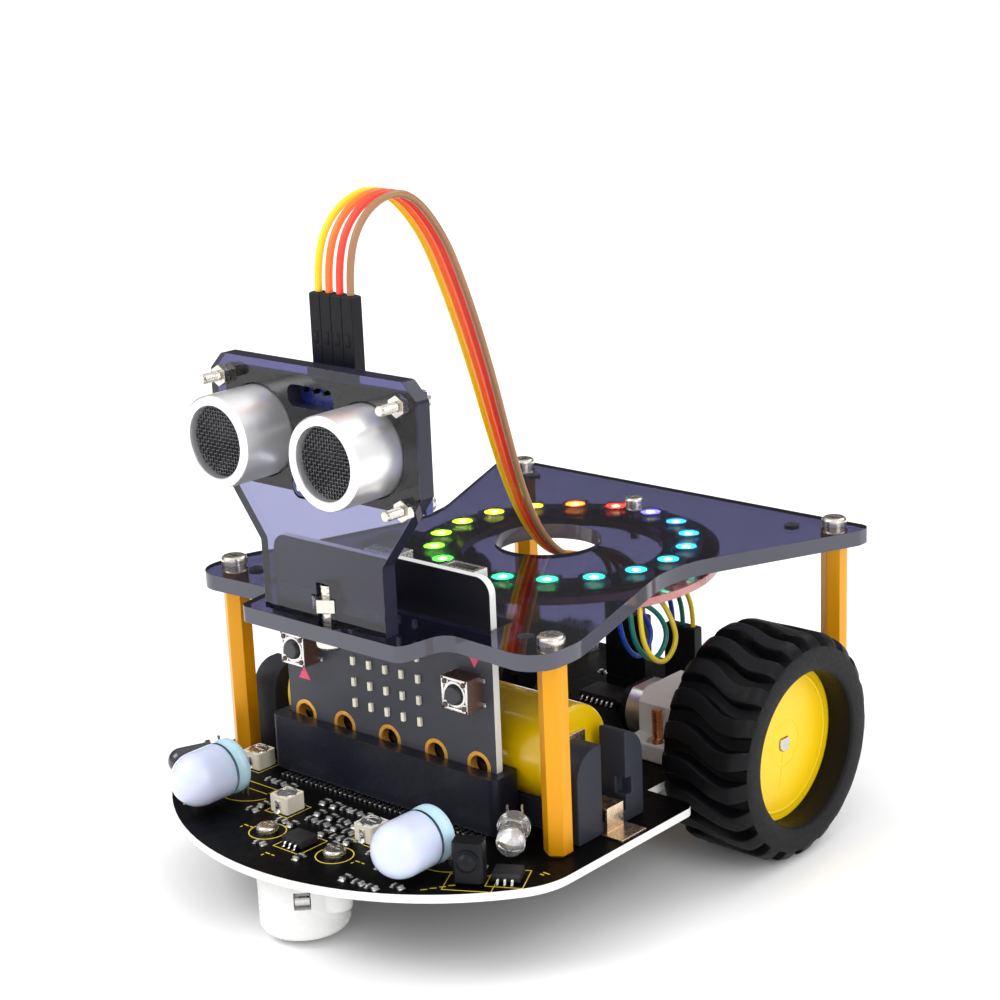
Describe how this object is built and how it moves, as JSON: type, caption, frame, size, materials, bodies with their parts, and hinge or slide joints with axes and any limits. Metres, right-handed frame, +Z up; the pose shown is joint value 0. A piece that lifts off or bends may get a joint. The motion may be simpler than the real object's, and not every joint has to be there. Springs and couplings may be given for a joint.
{
  "type": "two wheel robot car",
  "caption": "Small robot car: round-fronted circuit board with geared wheel motors and a ball caster, plug-in controller board, and an acrylic deck with lamp ring and sonar.",
  "frame": {"origin": "on the ground under the middle of the car's length and width", "axes": "+Z up; the car drives towards -Y, the side of the sonar and caster; +X across the car along the wheel axle"},
  "size_m": [0.1096, 0.1224, 0.1269],
  "materials": {
    "acrylic_lilac": "gloss",
    "acrylic_violet": "gloss",
    "ball_steel": "polished",
    "board_black": "satin",
    "board_blue": "satin",
    "board_red": "satin",
    "bracket_white": "satin",
    "brass": "polished",
    "button_grey": "satin",
    "can_aluminium": "satin",
    "can_steel": "satin",
    "caster_white": "gloss",
    "cell_yellow": "gloss",
    "chip_black": "matte",
    "connector_black": "satin",
    "contact_metal": "satin",
    "holder_black": "satin",
    "hub_yellow": "gloss",
    "infrared_clear": "gloss",
    "lamp_milky": "gloss",
    "nickel": "polished",
    "standoff_gold": "satin",
    "steel": "polished",
    "trimmer_cream": "matte",
    "tyre_black": "satin",
    "wire_blue": "satin",
    "wire_brown": "satin",
    "wire_orange": "satin",
    "wire_red": "satin",
    "wire_teal": "satin",
    "wire_yellow": "satin"
  },
  "bodies": {
    "chassis": {"base_board": "board_black", "base_fasteners": "nickel", "battery_cell": "cell_yellow", "battery_contacts": "contact_metal", "battery_holder": "holder_black", "caster_housing": "caster_white", "caster_rollers": "steel", "controller_board": "board_black", "controller_parts": "chip_black", "deck_fasteners": "nickel", "deck_plate": "acrylic_violet", "edge_connector": "connector_black", "edge_contacts": "contact_metal", "gearbox_frames": "brass", "headlights": "lamp_milky", "infrared_parts": "infrared_clear", "jumper_plugs": "connector_black", "motor_brackets": "bracket_white", "motor_cans": "can_steel", "motor_end_caps": "holder_black", "pin_headers": "contact_metal", "power_switch_body": "contact_metal", "ring_board": "board_red", "ring_lamps": "lamp_milky", "ring_wire_blue": "wire_blue", "ring_wire_teal": "wire_teal", "ring_wire_yellow": "wire_yellow", "sonar_board": "board_blue", "sonar_bracket": "acrylic_lilac", "sonar_cans": "can_aluminium", "sonar_fasteners": "nickel", "sonar_wire_brown": "wire_brown", "sonar_wire_orange": "wire_orange", "sonar_wire_red": "wire_red", "sonar_wire_yellow": "wire_yellow", "standoffs": "standoff_gold", "surface_parts": "chip_black", "trimmer_bodies": "trimmer_cream"},
    "wheel_right": {"output_shaft_right": "steel", "wheel_hub_right": "hub_yellow", "tyre_right": "tyre_black"},
    "gear_3_right": {"double_gear_3_right": "brass"},
    "gear_2_right": {"double_gear_2_right": "brass"},
    "gear_1_right": {"double_gear_1_right": "brass"},
    "rotor_right": {"motor_rotor_right": "steel"},
    "wheel_left": {"output_shaft_left": "steel", "wheel_hub_left": "hub_yellow", "tyre_left": "tyre_black"},
    "gear_3_left": {"double_gear_3_left": "brass"},
    "gear_2_left": {"double_gear_2_left": "brass"},
    "gear_1_left": {"double_gear_1_left": "brass"},
    "rotor_left": {"motor_rotor_left": "steel"},
    "caster_ball": {"caster_ball": "ball_steel"},
    "button_a": {"button_cap_a": "button_grey"},
    "button_b": {"button_cap_b": "button_grey"},
    "reset_button": {"reset_cap": "button_grey"},
    "trimmer_left": {"trimmer_rotor_left": "contact_metal"},
    "trimmer_middle": {"trimmer_rotor_middle": "contact_metal"},
    "trimmer_right": {"trimmer_rotor_right": "contact_metal"},
    "switch_lever": {"power_switch_lever": "chip_black"}
  },
  "joints": [
    {"name": "wheel_spin_right", "type": "hinge", "parent": "chassis", "child": "wheel_right", "pos_m": [0.0453, 0.0268, 0.0215], "axis": [1, 0, 0], "continuous": true},
    {"name": "gear_3_spin_right", "type": "hinge", "parent": "chassis", "child": "gear_3_right", "pos_m": [0.036, 0.0294, 0.02369], "axis": [1, 0, 0], "continuous": true},
    {"name": "gear_2_spin_right", "type": "hinge", "parent": "chassis", "child": "gear_2_right", "pos_m": [0.036, 0.0268, 0.0215], "axis": [1, 0, 0], "continuous": true},
    {"name": "gear_1_spin_right", "type": "hinge", "parent": "chassis", "child": "gear_1_right", "pos_m": [0.036, 0.0294, 0.02369], "axis": [1, 0, 0], "continuous": true},
    {"name": "rotor_spin_right", "type": "hinge", "parent": "chassis", "child": "rotor_right", "pos_m": [0.024, 0.0268, 0.0215], "axis": [1, 0, 0], "continuous": true},
    {"name": "wheel_spin_left", "type": "hinge", "parent": "chassis", "child": "wheel_left", "pos_m": [-0.0453, 0.0268, 0.0215], "axis": [1, 0, 0], "continuous": true},
    {"name": "gear_3_spin_left", "type": "hinge", "parent": "chassis", "child": "gear_3_left", "pos_m": [-0.036, 0.0294, 0.02369], "axis": [1, 0, 0], "continuous": true},
    {"name": "gear_2_spin_left", "type": "hinge", "parent": "chassis", "child": "gear_2_left", "pos_m": [-0.036, 0.0268, 0.0215], "axis": [1, 0, 0], "continuous": true},
    {"name": "gear_1_spin_left", "type": "hinge", "parent": "chassis", "child": "gear_1_left", "pos_m": [-0.036, 0.0294, 0.02369], "axis": [1, 0, 0], "continuous": true},
    {"name": "rotor_spin_left", "type": "hinge", "parent": "chassis", "child": "rotor_left", "pos_m": [-0.024, 0.0268, 0.0215], "axis": [1, 0, 0], "continuous": true},
    {"name": "ball_roll", "type": "hinge", "parent": "chassis", "child": "caster_ball", "pos_m": [0, -0.0492, 0.006], "axis": [1, 0, 0], "continuous": true},
    {"name": "button_a_press", "type": "slide", "parent": "chassis", "child": "button_a", "axis": [0, 1, 0], "range_m": [0, 0.00025], "stiffness_N_per_m": 4000},
    {"name": "button_b_press", "type": "slide", "parent": "chassis", "child": "button_b", "axis": [0, 1, 0], "range_m": [0, 0.00025], "stiffness_N_per_m": 4000},
    {"name": "reset_press", "type": "slide", "parent": "chassis", "child": "reset_button", "axis": [0, -1, 0], "range_m": [0, 0.00025], "stiffness_N_per_m": 4000},
    {"name": "trimmer_turn_left", "type": "hinge", "parent": "chassis", "child": "trimmer_left", "pos_m": [-0.0322, -0.0293, 0.0193], "axis": [0, 0, 1], "range_deg": [-130, 130]},
    {"name": "trimmer_turn_middle", "type": "hinge", "parent": "chassis", "child": "trimmer_middle", "pos_m": [-0.0126, -0.0404, 0.0193], "axis": [0, 0, 1], "range_deg": [-130, 130]},
    {"name": "trimmer_turn_right", "type": "hinge", "parent": "chassis", "child": "trimmer_right", "pos_m": [0.0087, -0.0404, 0.0193], "axis": [0, 0, 1], "range_deg": [-130, 130]},
    {"name": "power_switch_slide", "type": "slide", "parent": "chassis", "child": "switch_lever", "axis": [1, 0, 0], "range_m": [0, 0.002]}
  ],
  "couplings": [
    {"joint": "gear_3_spin_right", "follows": "wheel_spin_right", "ratio": -2.4},
    {"joint": "gear_2_spin_right", "follows": "wheel_spin_right", "ratio": 6.6667},
    {"joint": "gear_1_spin_right", "follows": "wheel_spin_right", "ratio": -18.519},
    {"joint": "rotor_spin_right", "follows": "wheel_spin_right", "ratio": 51.44},
    {"joint": "gear_3_spin_left", "follows": "wheel_spin_left", "ratio": -2.4},
    {"joint": "gear_2_spin_left", "follows": "wheel_spin_left", "ratio": 6.6667},
    {"joint": "gear_1_spin_left", "follows": "wheel_spin_left", "ratio": -18.519},
    {"joint": "rotor_spin_left", "follows": "wheel_spin_left", "ratio": 51.44}
  ]
}
